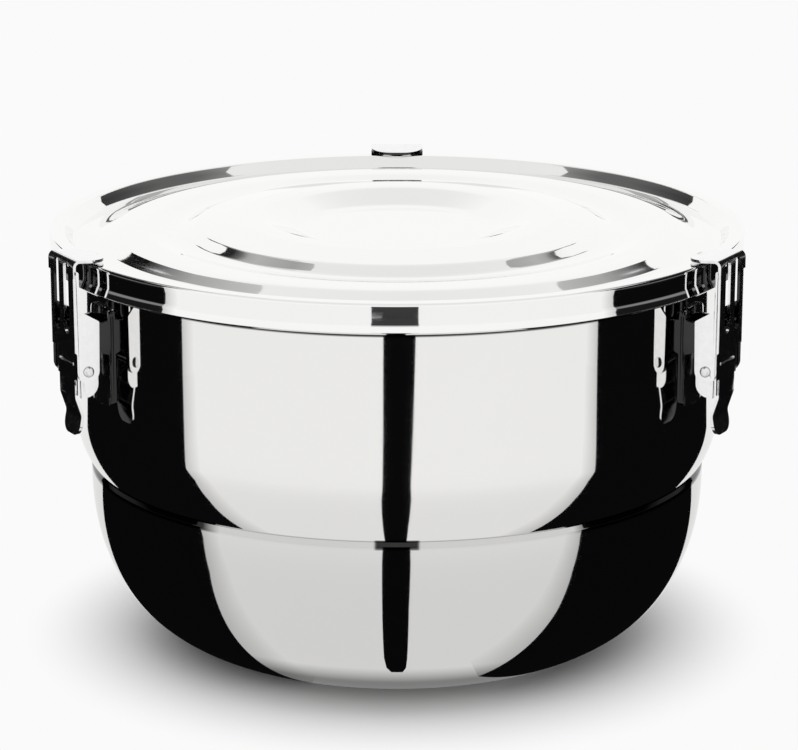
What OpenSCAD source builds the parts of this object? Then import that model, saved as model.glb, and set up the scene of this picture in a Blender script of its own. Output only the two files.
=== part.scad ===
// Round steel food container with a pressed lid and three toggle latches.
// The origin is on the axis at the foot, +Z is up and the front is towards -Y.

/* [Body] */
// Outer radius of the upper wall
wall_r = 117; // [100:1:150]
// Sheet thickness of the body
body_t = 0.8; // [0.6:0.1:1.2]
// Height of the top of the rolled rim
mouth_z = 146.6; // [130:0.2:190]
// Height of the waist crease
waist_z = 67.8; // [60:0.2:80]
// How far the upper wall comes in at the waist
waist_inset = 6.2; // [4:0.2:9]
// Radius of the curve from the upper wall into the waist
tuck_r = 37; // [25:1:45]
// How far the lower tier stands out under the waist
shoulder_out = 0.6; // [0.4:0.1:2]
// Height of the slope between the lower tier and the waist
shoulder_h = 1.4; // [1:0.1:4]
// Rounding of the lower tier's top edge
shoulder_r = 0.8; // [0.4:0.1:1.5]
// Height of the straight band at the top of the lower tier
band_h = 2.4; // [1:0.2:20]
// Radius of the flat foot
foot_r = 58; // [40:1:75]
// Roundness of the lower bowl, 2 for an ellipse and more for squarer
bowl_power = 2.2; // [1.8:0.1:3]

/* [Rim] */
// Radius of the rolled edge
bead_r = 2.2; // [1.8:0.1:3.2]
// How far the rolled edge stands out from the wall
bead_out = 6.9; // [6:0.1:10]
// Bend from the wall into the rim
rim_bend = 1.5; // [1:0.1:2]
// How far round the sheet rolls
bead_turn = 215; // [180:5:240]

/* [Lid] */
// Sheet thickness of the lid
lid_t = 0.8; // [0.6:0.1:1.2]
// Clearance between the rolled edge and the skirt
skirt_gap = 0.3; // [0.2:0.05:0.6]
// Height of the lid's rim above the mouth
lid_rise = 6.4; // [5:0.1:9]
// Depth of the skirt below the lid's rim
skirt_h = 7; // [6:0.1:9]
// Width of the rim's top
rim_w = 7; // [6:0.2:8]
// Rounding of the rim's two top edges
rim_round = 2.2; // [1.5:0.1:2.8]
// Run of the wall inside the rim
inner_wall_run = 2; // [1.6:0.2:8]
// Width of the groove's floor
groove_w = 7; // [2:0.2:9]
// Depth of the groove below the rim
groove_d = 4.2; // [3:0.1:5.5]
// Rounding of the groove's outer corner
groove_round = 2.2; // [1.5:0.1:2.6]
// Run of the slope from the groove up to the plateau
plateau_run = 9.5; // [6:0.5:12]
// Width of the plateau
plateau_w = 12; // [8:0.5:14]
// Depth of the plateau below the rim
plateau_d = 1; // [0.8:0.1:3]
// Run of the slope from the plateau down to the valley
valley_run = 9; // [5:0.5:10]
// Width of the valley's floor
valley_w = 6; // [3:0.5:7]
// Depth of the valley below the rim
valley_d = 1.6; // [1.2:0.1:3]
// Run of the steep slope from the valley up to the ring's flank
ring_run = 6.5; // [6:0.5:9]
// Height of that slope's top above the lid's rim
flank_up = 1; // [0.6:0.1:1.4]
// Run of the ring's gentle flank
flank_run = 9; // [7:0.5:12]
// Width of the ring's top
ring_w = 8; // [5:0.5:10]
// Height of the ring above the lid's rim
ring_up = 2.5; // [2:0.1:3.5]
// Run of the slope from the ring down to the sunk centre
dish_run = 14; // [10:0.5:16]
// Depth of the sunk centre below the rim
dish_d = 2.3; // [1:0.1:3]
// Rounding of the pressed steps
press_round = 14; // [4:1:16]
// Rounding of the ring's flank
ring_round = 20; // [6:1:22]

/* [Seal] */
// Clearance between the sealing ring and the steel round it
seal_gap = 0.3; // [0.1:0.05:0.5]
// Width of the sealing ring
seal_w = 4.2; // [3:0.1:4.4]
// Rounding of the sealing ring's edges
seal_round = 0.8; // [0.3:0.1:1]

/* [Latch] */
// Angles of the latches round the container
latch_angles = [210, 330, 90];
// Width over a hook's side flanges
latch_w = 20.4; // [18:0.2:26]
// Thickness of the hook's sheet
hook_t = 1; // [0.8:0.1:1.5]
// Room between the skirt and the hook's plate
hook_gap = 6; // [3:0.1:8]
// Clearance between the lid's rim and the claw
claw_gap = 0.4; // [0.3:0.05:0.8]
// Slope of the claw down to its tip
claw_dip = 1.3; // [0.3:0.1:1.6]
// Length of the claw over the rim
claw_reach = 14.2; // [11:0.2:15]
// Outer radius of the bend into the claw
claw_bend = 2.4; // [1.8:0.1:3]
// Rounding of the claw's corners
claw_corner = 8; // [1:0.5:8.5]
// Width of each of the two slots
slot_w = 3.8; // [3:0.1:4.6]
// Distance between the slots' middles
slot_pitch = 7.8; // [7:0.1:9]
// Distance of a slot's top end from the hook's top
slot_top = 1.4; // [1.3:0.1:4]
// Distance of a slot's bottom end from the hook's top
slot_end = 26.6; // [18:0.2:28]
// Length of the hook's plate from its top
plate_h = 32.4; // [30:0.2:35]
// Depth of the side flanges where they are widest
flange_d = 9.2; // [8.8:0.1:9.4]
// Depth of the side flanges beside the slots
flange_slim = 2; // [1.7:0.1:3.4]
// Distance of the flanges' slim part from the hook's top
flange_top = 4; // [3.5:0.1:5]
// Distance of the slant's start from the hook's top
slant_top = 17.8; // [16:0.2:19]
// Height of the flanges' slant
slant_h = 4.4; // [3:0.2:6]
// Rounding of the flanges' corners
flange_round = 0.9; // [0.3:0.1:1.2]
// Radius of the strap round the rivet
strap_r = 4; // [3.4:0.1:4.1]
// Radius of the bends along the channels
channel_bend = 1.6; // [1.4:0.1:2]
// Inside radius of the bends along the channels
channel_inside = 0.5; // [0.2:0.1:0.6]

/* [Lever] */
// Distance of the hinge pin from the hook's top
pivot_drop = 28.2; // [27:0.2:30]
// Distance between the hinge pin and the rivet
link = 11.2; // [10.5:0.1:12]
// Distance of the hinge pin from the lever's face
pivot_in = 3.5; // [3.4:0.1:4]
// Thickness of the lever's sheet
lever_t = 1.1; // [0.9:0.1:1.2]
// Clearance between the hook and the lever
lever_gap = 0.3; // [0.2:0.05:0.5]
// Depth of the lever's cheeks
cheek_d = 7.6; // [7.2:0.1:8]
// Height of the cheeks above the hinge pin
cheek_up = 3.4; // [2.8:0.1:3.6]
// Distance of the cheeks' lower end from the hook's top
cheek_end = 48.8; // [45:0.2:50]
// Rounding of the cheeks' lower inside corner
cheek_corner = 4.5; // [2:0.5:6]
// Distance of the lever's face below the hinge pin
face_drop = 2.8; // [2.5:0.1:4]
// Distance of the wide face's lower end from the hook's top
face_end = 42.6; // [41:0.2:45]
// Number of grip ribs
rib_count = 1; // [1:1:2]
// Distance between the grip ribs
rib_pitch = 3; // [2.2:0.1:3.4]
// Distance of the first rib from the hook's top
rib_top = 37.2; // [35:0.2:38]
// Length of the grip ribs
rib_w = 10.6; // [9:0.2:14]
// Height of the grip ribs
rib_h = 0.3; // [0.2:0.05:0.6]
// Radius of the grip ribs
rib_r = 0.8; // [0.7:0.1:1]
// Width of the thumb tab
tab_w = 12.6; // [10:0.2:15]
// Distance of the thumb tab's end from the hook's top
tab_end = 63.2; // [60:0.2:66]
// How far the thumb tab's neck goes in
neck_in = 2.2; // [1:0.1:3]
// Distance of the neck from the hook's top
neck_drop = 56; // [54:0.2:58]
// How far the thumb tab's end stands out from its neck
flare_out = 1.5; // [0.5:0.1:3]
// Rounding of the bends in the thumb tab
tab_bend = 4; // [2:0.5:5]
// Rounding of the thumb tab's end
tab_round = 4; // [2:0.5:5]

/* [Bracket] */
// Thickness of the bracket's sheet
bracket_t = 1.2; // [1:0.1:1.4]
// Clearance between the ears and the lever's cheeks
ear_gap = 0.35; // [0.25:0.05:0.5]
// Radius of the ears round the hinge pin
ear_r = 2.8; // [2.5:0.1:3]
// Height of the bracket's plate above the hinge pin
bracket_up = 9; // [6:0.5:11]
// Depth of the bracket's plate below the hinge pin
bracket_down = 26; // [10:0.5:28]
// Height of the ears' foot above the hinge pin
ear_up = 5; // [3.5:0.5:6]
// Depth of the ears' foot below the hinge pin
ear_down = 7; // [5:0.5:7.5]
// Rounding of the plate's corners
bracket_corner = 3; // [1:0.5:4]

/* [Pins] */
// Radius of the hinge pins and rivets
pin_r = 1.5; // [1.2:0.05:1.7]
// Running clearance round a pin
pin_gap = 0.05; // [0.03:0.01:0.08]
// Radius of a rivet's head
head_r = 1.9; // [1.8:0.1:3]
// Height of a rivet's head
head_h = 1; // [0.6:0.1:1.3]
// Rounding of a rivet's head
head_round = 0.9; // [0.3:0.1:0.9]
// Chamfer at the ends of the hinge pins
pin_chamfer = 0.2; // [0.1:0.05:0.4]
// Clearance between a rivet's head and the strap
head_gap = 0.1; // [0.05:0.05:0.2]

/* [Hidden] */
$fn = 120;

LEFT = 0;
RIGHT = 1;
BACK = 2;
corner_steps = 6;
bowl_steps = 18;
// Overlap of shapes that are joined or cut
over = 0.5;
tiny = 0.01;

waist_r = wall_r - waist_inset;
lower_r = waist_r + shoulder_out;
bowl_rise = waist_z - shoulder_h - band_h;
tuck_turn = acos(1 - waist_inset / tuck_r);
bead_edge_r = wall_r + bead_out;
lid_r = bead_edge_r + skirt_gap + lid_t;
lid_z = mouth_z + lid_rise;

hook_z = lid_z + claw_gap + claw_dip + hook_t;
hook_face = lid_r + hook_gap + hook_t;
lever_w = latch_w - 2 * (hook_t + lever_gap);
lever_face = hook_face - hook_t - lever_gap;
pivot_u = lever_face - pivot_in;
pivot_z = hook_z - pivot_drop;
rivet_z = pivot_z - link;
ear_w = lever_w - 2 * (lever_t + ear_gap);
// A little under the strap's radius, so that its two bottom corners don't meet
strap_round = strap_r - tiny;

steel = [0.80, 0.81, 0.82];
latch_steel = [0.70, 0.71, 0.73];
pin_steel = [0.60, 0.61, 0.63];
silicone = [0.92, 0.92, 0.90];

function unit(v) = v / norm(v);
function left_of(v) = [-v[1], v[0]];
function xy(v) = [v[0], v[1]];

// Arc from a to b about c, the short way round
function short_arc(c, a, b) =
    let (
        start = atan2(a[1] - c[1], a[0] - c[0]),
        turn = atan2(b[1] - c[1], b[0] - c[0]) - start,
        sweep = turn > 180 ? turn - 360 : turn < -180 ? turn + 360 : turn,
        r = norm(a - c)
    )
    [for (i = [0:corner_steps])
        let (angle = start + sweep * i / corner_steps)
        c + r * [cos(angle), sin(angle)]];

// Corner q between the points p and s, rounded by the radius r
function rounded(p, q, s, r) =
    let (
        to_p = unit(p - q),
        to_s = unit(s - q),
        half = acos(to_p * to_s) / 2,
        run = r / tan(half),
        c = q + unit(to_p + to_s) * r / sin(half)
    )
    short_arc(c, q + run * to_p, q + run * to_s);

// A station is [x, y] for a sharp corner or [x, y, radius] for a round one
function turned(p, q, s) =
    len(q) == 3 ? rounded(xy(p), xy(q), xy(s), q[2]) : [xy(q)];

function open_path(k) =
    let (last = len(k) - 1)
    [xy(k[0]), for (i = [1:last - 1]) each turned(k[i - 1], k[i], k[i + 1]), xy(k[last])];

function closed_path(k) =
    let (n = len(k))
    [for (i = [0:n - 1]) each turned(k[(i + n - 1) % n], k[i], k[(i + 1) % n])];

// Path moved to its left by d, so that a sheet keeps its thickness round bends
function beside(p, d) =
    let (last = len(p) - 1)
    [for (i = [0:last])
        let (
            before = left_of(unit(i == 0 ? p[1] - p[0] : p[i] - p[i - 1])),
            after = left_of(unit(i == last ? p[i] - p[i - 1] : p[i + 1] - p[i])),
            m = unit(before + after)
        )
        p[i] + m * d / (m * before)];

// Outline of a sheet that lies on the left of a path
function sheet(p, t) =
    let (other = beside(p, t))
    concat(p, [for (i = [len(p) - 1:-1:0]) other[i]]);

// Quarter of a superellipse from the foot's edge up to the lower wall
function bowl_curve() =
    [for (i = [0:bowl_steps])
        let (angle = 90 * i / bowl_steps)
        [
            foot_r + (lower_r - foot_r) * pow(sin(angle), 2 / bowl_power),
            bowl_rise * (1 - pow(cos(angle), 2 / bowl_power))
        ]];

// Curve from the waist out to the upper wall
function tuck_curve() =
    let (c = [wall_r - tuck_r, waist_z + tuck_r * sin(tuck_turn)])
    [for (i = [0:corner_steps * 2])
        let (angle = -tuck_turn * (1 - i / (corner_steps * 2)))
        c + tuck_r * [cos(angle), sin(angle)]];

// Inside of the rolled edge, from its top over and round
function bead_curve() =
    let (c = [bead_edge_r - bead_r, mouth_z - bead_r])
    [for (i = [0:corner_steps * 3])
        let (angle = 90 - bead_turn * i / (corner_steps * 3))
        c + (bead_r - body_t) * [cos(angle), sin(angle)]];

module body_shell() {
    shoulder = open_path([
        [lower_r, bowl_rise],
        [lower_r, waist_z - shoulder_h, shoulder_r],
        [waist_r, waist_z]
    ]);
    bend = open_path([
        [wall_r, waist_z + tuck_r * sin(tuck_turn)],
        [wall_r, mouth_z - body_t, rim_bend],
        [bead_edge_r - bead_r, mouth_z - body_t]
    ]);
    outside = concat(
        [[0, 0]],
        bowl_curve(),
        [for (i = [1:len(shoulder) - 2]) shoulder[i]],
        tuck_curve(),
        [for (i = [1:len(bend) - 2]) bend[i]],
        bead_curve()
    );
    color(steel)
        rotate_extrude()
            polygon(sheet(outside, body_t));
}

module lid_shell() {
    groove_out = lid_r - rim_w - inner_wall_run;
    groove_in = groove_out - groove_w;
    plateau_out = groove_in - plateau_run;
    plateau_in = plateau_out - plateau_w;
    valley_out = plateau_in - valley_run;
    valley_in = valley_out - valley_w;
    flank_r = valley_in - ring_run;
    ring_out = flank_r - flank_run;
    ring_in = ring_out - ring_w;
    dish_r = ring_in - dish_run;
    top = open_path([
        [0, lid_z - dish_d],
        [dish_r, lid_z - dish_d, press_round],
        [ring_in, lid_z + ring_up, press_round],
        [ring_out, lid_z + ring_up, ring_round],
        [flank_r, lid_z + flank_up, ring_round],
        [valley_in, lid_z - valley_d, press_round],
        [valley_out, lid_z - valley_d, press_round],
        [plateau_in, lid_z - plateau_d, press_round],
        [plateau_out, lid_z - plateau_d, press_round],
        [groove_in, lid_z - groove_d, press_round],
        [groove_out, lid_z - groove_d, groove_round],
        [lid_r - rim_w, lid_z, rim_round],
        [lid_r, lid_z, rim_round],
        [lid_r, lid_z - skirt_h]
    ]);
    color(steel)
        rotate_extrude()
            polygon(sheet(top, -lid_t));
}

module sealing_ring() {
    outer = lid_r - lid_t - seal_gap;
    floor_z = mouth_z + seal_gap;
    roof_z = lid_z - lid_t - seal_gap;
    color(silicone)
        rotate_extrude()
            polygon(closed_path([
                [outer - seal_w, floor_z, seal_round],
                [outer, floor_z, seal_round],
                [outer, roof_z, seal_round * 2],
                [outer - seal_w, roof_z, seal_round * 2]
            ]));
}

// Side outline, drawn as distance from the axis and height, made a slab of width w
module side_slab(outline, w) {
    rotate([90, 0, 0])
        linear_extrude(w, center = true)
            polygon(outline);
}

// Upright channel with its back at the distance face and its open side inward
module channel(face, w, depth, t, bottom, top) {
    half = w / 2;
    translate([0, 0, bottom])
        linear_extrude(top - bottom)
            polygon(closed_path([
                [face - depth, half],
                [face, half, channel_bend],
                [face, -half, channel_bend],
                [face - depth, -half],
                [face - depth, t - half],
                [face - t, t - half, channel_inside],
                [face - t, half - t, channel_inside],
                [face - depth, half - t]
            ]));
}

// Round bar across the latch at the distance u and the height z
module cross_bar(u, z, r, w) {
    translate([u, 0, z])
        rotate([90, 0, 0])
            cylinder(h = w, r = r, center = true);
}

module bracket(angle) {
    wall_cut_h = bracket_up + bracket_down + 2 * over;
    color(latch_steel)
        rotate([0, 0, angle])
            difference() {
                union() {
                    bracket_plate();
                    for (side = [-1, 1])
                        translate([0, side * (ear_w - bracket_t) / 2, 0])
                            side_slab(ear_outline(), bracket_t);
                }
                translate([0, 0, pivot_z - bracket_down - over])
                    cylinder(h = wall_cut_h, r = wall_r);
                cross_bar(pivot_u, pivot_z, pin_r + pin_gap, latch_w);
            }
}

// Plate that follows the wall, with round corners
module bracket_plate() {
    half = ear_w / 2;
    intersection() {
        translate([0, 0, pivot_z - bracket_down])
            cylinder(h = bracket_up + bracket_down, r = wall_r + bracket_t);
        rotate([90, 0, 90])
            linear_extrude(wall_r + 2 * bracket_t)
                polygon(closed_path([
                    [-half, pivot_z - bracket_down, bracket_corner],
                    [half, pivot_z - bracket_down, bracket_corner],
                    [half, pivot_z + bracket_up, bracket_corner],
                    [-half, pivot_z + bracket_up, bracket_corner]
                ]));
    }
}

function ear_outline() = closed_path([
    [wall_r - over, pivot_z - ear_down],
    [wall_r + bracket_t, pivot_z - ear_down],
    [pivot_u + ear_r, pivot_z - ear_r, ear_r],
    [pivot_u + ear_r, pivot_z + ear_r, ear_r],
    [wall_r + bracket_t, pivot_z + ear_up],
    [wall_r - over, pivot_z + ear_up]
]);

module lever(angle) {
    face_top = pivot_z - face_drop;
    inside_w = lever_w - 2 * lever_t;
    color(latch_steel)
        rotate([0, 0, angle])
            difference() {
                union() {
                    intersection() {
                        channel(lever_face, lever_w, cheek_d, lever_t,
                            hook_z - cheek_end, pivot_z + cheek_up);
                        side_slab(cheek_outline(), lever_w + over);
                    }
                    thumb_tab();
                    for (i = [0:rib_count - 1])
                        cross_bar(lever_face + rib_h - rib_r, hook_z - rib_top - i * rib_pitch,
                            rib_r, rib_w);
                }
                translate([pivot_u, -inside_w / 2, face_top])
                    cube([lever_face - pivot_u + over, inside_w, face_drop + cheek_up + over]);
                for (side = [-1, 1])
                    translate([0, side * (tab_w + lever_w) / 2, 0])
                        beside_tab();
                cross_bar(pivot_u, pivot_z, pin_r + pin_gap, latch_w);
                cross_bar(pivot_u, rivet_z, pin_r + pin_gap, latch_w);
            }
}

// Room beside the thumb tab, under the wide face
module beside_tab() {
    translate([lever_face - lever_t, -lever_w / 2, hook_z - cheek_end - over])
        cube([lever_t + over, lever_w, cheek_end - face_end + over]);
}

function cheek_outline() = closed_path([
    [lever_face + over, hook_z - cheek_end],
    [lever_face - cheek_d, hook_z - cheek_end, cheek_corner],
    [lever_face - cheek_d, pivot_z + cheek_up, cheek_up],
    [pivot_u + cheek_up, pivot_z + cheek_up, cheek_up],
    [pivot_u + cheek_up, pivot_z - face_drop + over],
    [lever_face + over, pivot_z - face_drop + over]
]);

// Narrow end of the lever, bent in at its neck and out at its tip
module thumb_tab() {
    root_z = hook_z - face_end + over;
    tip_z = hook_z - tab_end;
    half = tab_w / 2;
    path = open_path([
        [lever_face, root_z],
        [lever_face, hook_z - (face_end + neck_drop) / 2, tab_bend],
        [lever_face - neck_in, hook_z - neck_drop, tab_bend],
        [lever_face - neck_in + flare_out, tip_z - over]
    ]);
    intersection() {
        side_slab(sheet(path, -lever_t), lever_w);
        rotate([90, 0, 90])
            linear_extrude(lever_face + flare_out)
                polygon(closed_path([
                    [-half, tip_z, tab_round],
                    [half, tip_z, tab_round],
                    [half, root_z],
                    [-half, root_z]
                ]));
    }
}

module lever_pin(angle) {
    half = lever_w / 2;
    color(pin_steel)
        rotate([0, 0, angle])
            translate([pivot_u, 0, pivot_z])
                rotate([90, 0, 0])
                    rotate_extrude()
                        polygon([
                            [0, -half], [pin_r - pin_chamfer, -half],
                            [pin_r, pin_chamfer - half], [pin_r, half - pin_chamfer],
                            [pin_r - pin_chamfer, half], [0, half]
                        ]);
}

module hook_rivet(angle) {
    seat = latch_w / 2 + head_gap;
    end = seat + head_h;
    color(pin_steel)
        rotate([0, 0, angle])
            translate([pivot_u, 0, rivet_z])
                rotate([90, 0, 0])
                    rotate_extrude()
                        polygon(closed_path([
                            [0, -end], [head_r, -end, head_round], [head_r, -seat],
                            [pin_r, -seat], [pin_r, seat],
                            [head_r, seat], [head_r, end, head_round], [0, end]
                        ]));
}

module hook(angle) {
    strap_z = rivet_z - strap_r;
    color(latch_steel)
        rotate([0, 0, angle])
            difference() {
                union() {
                    intersection() {
                        channel(hook_face, latch_w, flange_d, hook_t,
                            strap_z, hook_z - claw_bend);
                        side_slab(flange_outline(), latch_w + over);
                    }
                    claw();
                }
                translate([hook_face - flange_d - over, hook_t - latch_w / 2, strap_z - over])
                    cube([flange_d + 2 * over, latch_w - 2 * hook_t,
                        hook_z - plate_h - strap_z + over]);
                for (side = [-1, 1])
                    translate([hook_face - claw_bend, side * slot_pitch / 2, 0])
                        hook_slot();
                cross_bar(pivot_u, rivet_z, pin_r + pin_gap, latch_w + over);
            }
}

// Claw over the lid's rim, bent from the top of the plate
module claw() {
    half = latch_w / 2;
    tip = hook_face - claw_reach;
    path = open_path([
        [tip - over, hook_z - claw_dip],
        [hook_face, hook_z, claw_bend],
        [hook_face, hook_z - claw_bend - flange_top]
    ]);
    intersection() {
        side_slab(sheet(path, -hook_t), latch_w);
        linear_extrude(hook_z + over)
            polygon(closed_path([
                [tip, -half, claw_corner],
                [hook_face + over, -half],
                [hook_face + over, half],
                [tip, half, claw_corner]
            ]));
    }
}

// One round-ended slot through the plate
module hook_slot() {
    top = hook_z - slot_top - slot_w / 2;
    bottom = hook_z - slot_end + slot_w / 2;
    for (z = [top, bottom])
        translate([0, 0, z])
            rotate([0, 90, 0])
                cylinder(h = claw_bend + over, r = slot_w / 2);
    translate([0, -slot_w / 2, bottom])
        cube([claw_bend + over, slot_w, top - bottom]);
}

function flange_outline() = closed_path([
    [hook_face + over, hook_z - flange_top],
    [hook_face + over, hook_z - plate_h],
    [pivot_u + strap_r, hook_z - plate_h, flange_round],
    [pivot_u + strap_r, rivet_z - strap_r, strap_round],
    [pivot_u - strap_r, rivet_z - strap_r, strap_round],
    [hook_face - flange_d, hook_z - slant_top - slant_h, flange_round],
    [hook_face - flange_slim, hook_z - slant_top, flange_round],
    [hook_face - flange_slim, hook_z - flange_top, flange_round]
]);

body_shell();
lid_shell();
sealing_ring();
bracket(latch_angles[LEFT]);  // left_bracket
bracket(latch_angles[RIGHT]);  // right_bracket
bracket(latch_angles[BACK]);  // back_bracket
lever(latch_angles[LEFT]);  // left_lever
lever(latch_angles[RIGHT]);  // right_lever
lever(latch_angles[BACK]);  // back_lever
lever_pin(latch_angles[LEFT]);  // left_lever_pin
lever_pin(latch_angles[RIGHT]);  // right_lever_pin
lever_pin(latch_angles[BACK]);  // back_lever_pin
hook(latch_angles[LEFT]);  // left_hook
hook(latch_angles[RIGHT]);  // right_hook
hook(latch_angles[BACK]);  // back_hook
hook_rivet(latch_angles[LEFT]);  // left_hook_rivet
hook_rivet(latch_angles[RIGHT]);  // right_hook_rivet
hook_rivet(latch_angles[BACK]);  // back_hook_rivet
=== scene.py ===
"""Mirror-polished steel food container with a pressed lid and toggle latches, in a white studio."""
import math

import bmesh
import bpy
import numpy as np
from bpy.props import FloatProperty, FloatVectorProperty, IntProperty, PointerProperty
from bpy.types import Operator, Panel, PropertyGroup
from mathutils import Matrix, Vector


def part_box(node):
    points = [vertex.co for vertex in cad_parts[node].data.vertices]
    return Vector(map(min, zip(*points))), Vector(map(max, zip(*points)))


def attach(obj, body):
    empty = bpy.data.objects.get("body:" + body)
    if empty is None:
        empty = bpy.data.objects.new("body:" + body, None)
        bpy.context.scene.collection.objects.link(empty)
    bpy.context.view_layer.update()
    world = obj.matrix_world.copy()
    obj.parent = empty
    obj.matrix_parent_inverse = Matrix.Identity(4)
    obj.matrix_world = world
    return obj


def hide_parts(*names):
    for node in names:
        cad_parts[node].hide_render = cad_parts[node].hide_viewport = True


bl_info = {
    "name": "Steel Food Container",
    "version": (1, 0, 0),
    "blender": (4, 5, 0),
    "location": "View3D > Sidebar > Container",
    "description": "Builds the polished shells, latches and white studio of a steel food container",
    "category": "Object",
}

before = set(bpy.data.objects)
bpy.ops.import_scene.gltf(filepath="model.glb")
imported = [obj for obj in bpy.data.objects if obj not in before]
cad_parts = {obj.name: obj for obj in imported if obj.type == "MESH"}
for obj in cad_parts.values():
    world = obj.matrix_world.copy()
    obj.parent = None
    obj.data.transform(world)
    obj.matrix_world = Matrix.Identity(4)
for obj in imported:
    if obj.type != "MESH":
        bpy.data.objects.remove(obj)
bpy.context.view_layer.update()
BODY_LOW, BODY_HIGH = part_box("body_shell")
LID_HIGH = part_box("lid_shell")[1]

MM = 0.001
CONTAINER = "container"
# Directions of the three latches round the axis, in degrees
SIDES = {"left": 210, "right": 330, "back": 90}
CORNER_STEPS = 10
BOWL_STEPS = 60
LATHE_SIDES = 224
RUN_STEP = 2.5 * MM
SMOOTH_LIMIT = math.radians(35)
# Angles and gap, for the copies of the latches' pieces
FLAT_LIMIT = math.radians(0.5)
BEVEL_LIMIT = math.radians(38)
LATCH_SMOOTH = math.radians(60)
MERGE_GAP = 1e-6
# How far a latch's face turns inwards, or sideways on a flank, to count as one of its inner sides, which
# get a painted shade
INWARD_SHARE = 0.3
FLANK_SHARE = 0.7
# Heights of the steel's swell, polishing marks and grain, and the spread of each finish's roughness
SWELL_HEIGHT = 0.03 * MM
MARK_HEIGHT = 0.0003 * MM
GRAIN_HEIGHT = 0.004 * MM
SHELL_SPREAD = (0.6, 1.6)
LATCH_SPREAD = (0.7, 1.4)
SEAL_ROUGHNESS = (0.4, 0.55)
# Heights in millimetres where a painted shade on the body starts, is full, stays full and ends:
# the shoulder's shade and the crease's painted dark reflections from the waist crease,
# the painted shadow under the roll from the rolled rim's lowest edge
SHOULDER_SHADE = (-2.6, -1.2, 0.0, 0.5)
CREASE_SHADE = (-2.6, -2.2, 0.6, 1.0)
ROLL_SHADE = (-2.3, -1.9, 0.4, 1.0)
# Reach of the crease's painted dark reflections as (distance to the side, share): the dark strip, the
# panel, the dark side
CREASE_REACH = ((0, 1), (0.0070, 1), (0.0078, 0), (0.0600, 0), (0.0660, 1), (0.1300, 1))
# Dark cards on the floor in metres, as plan points (x, y) of their front edges and of the strip
CARD_X = 0.5
CARD_LIFT = 0.2 * MM
CARD_BACK = ((CARD_X, 0.41), (0.115, 0.025))
LEFT_EDGE = ((0.030, -0.064), (0.100, -0.090), (0.150, -0.108), (0.240, -0.132), (0.390, -0.153),
    (CARD_X, -0.172))
RIGHT_EDGE = ((0.030, -0.079), (0.088, -0.099), (0.150, -0.123), (0.240, -0.153), (0.380, -0.190),
    (CARD_X, -0.227))
STRIP_LEFT = ((-0.0022, -0.0925), (-0.0042, -0.096), (-0.0056, -0.104), (-0.010, -0.154),
    (-0.020, -0.267), (-0.030, -0.406), (-0.036, -0.497), (-0.052, -0.700))
STRIP_RIGHT = ((0.0022, -0.0925), (0.0036, -0.096), (0.0044, -0.104), (0.008, -0.154),
    (0.018, -0.267), (0.028, -0.406), (0.042, -0.497), (0.072, -0.700))
# Upright cards at CARD_X on both sides, as outlines (y, z) and their greys as (height, tone)
SIDE_STEP = 0.50
SIDE_OUTLINE = ((0.42, 0.0), (0.42, 0.30), (0.755, 0.30), (0.755, 1.0), (0.05, 1.0), (0.05, SIDE_STEP))
SIDE_STOPS = ((0.0, 0.003), (0.07, 0.003), (0.09, 0.22), (0.125, 0.22), (0.145, 0.01), (0.45, 0.003),
    (0.56, 0.06), (0.64, 0.12), (0.72, 0.13), (0.86, 0.28), (1.0, 0.34))
BACK_OUTLINES = {
    "left": ((1.19, 0.745), (1.36, 0.745), (1.31, 1.20), (1.52, 1.60), (1.72, 1.95), (1.45, 1.95),
        (1.19, 1.25)),
    "right": ((1.19, 0.87), (1.33, 0.87), (1.31, 1.20), (1.50, 1.60), (1.30, 1.60), (1.19, 1.25)),
}
BACK_STOPS = ((0.0, 0.004), (0.87, 0.008), (0.95, 0.12), (1.04, 0.25), (1.19, 0.40), (1.56, 0.50),
    (1.95, 0.56))
NEAR_OUTLINES = {
    "left": ((0.84, 0.87), (1.16, 0.87), (1.16, 2.00), (0.84, 2.00)),
    "right": ((0.84, 0.97), (1.16, 0.97), (1.16, 1.50), (0.84, 1.50)),
}
NEAR_STOPS = ((0.0, 0.01), (0.93, 0.02), (1.0, 0.14), (1.06, 0.40), (1.15, 0.47), (1.33, 0.42),
    (1.6, 0.37), (2.0, 0.46))
# Upright card at the strip's far end: its span in x and its greys
FRONT_SPAN = (-0.09, 0.075)
FRONT_STOPS = ((0.0, 0.045), (0.10, 0.045), (0.20, 1.0))
# Soft fringes: their darkest share, the floor fringe's width at the middle and its growth
# with x, and the side fringe's width
FRINGE_SHADE = 0.32
FRINGE_WIDTH = 0.014
FRINGE_GROWTH = 0.07
SIDE_FRINGE = 0.045
# Greys of the sky by its direction's z, and of the mirrored floor by the distance to the axis: a painted
# shadow, dark round the foot and greyer near the object
SKY_STOPS = ((0.0, 1.0), (0.55, 1.0), (0.70, 0.89), (0.85, 0.85), (1.0, 0.85))
MIRRORED_FLOOR_SHADOW_STOPS = ((0.0, 0.25), (0.083, 0.25), (0.095, 0.83), (0.19, 0.84), (0.25, 0.86), (0.30, 0.89),
    (0.42, 0.955))
FLOOR_HALF = 8.0
LAMP_SIZE = (1.6, 1.2)
LAMP_PLACE = (0, -0.2, 1.5)


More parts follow.
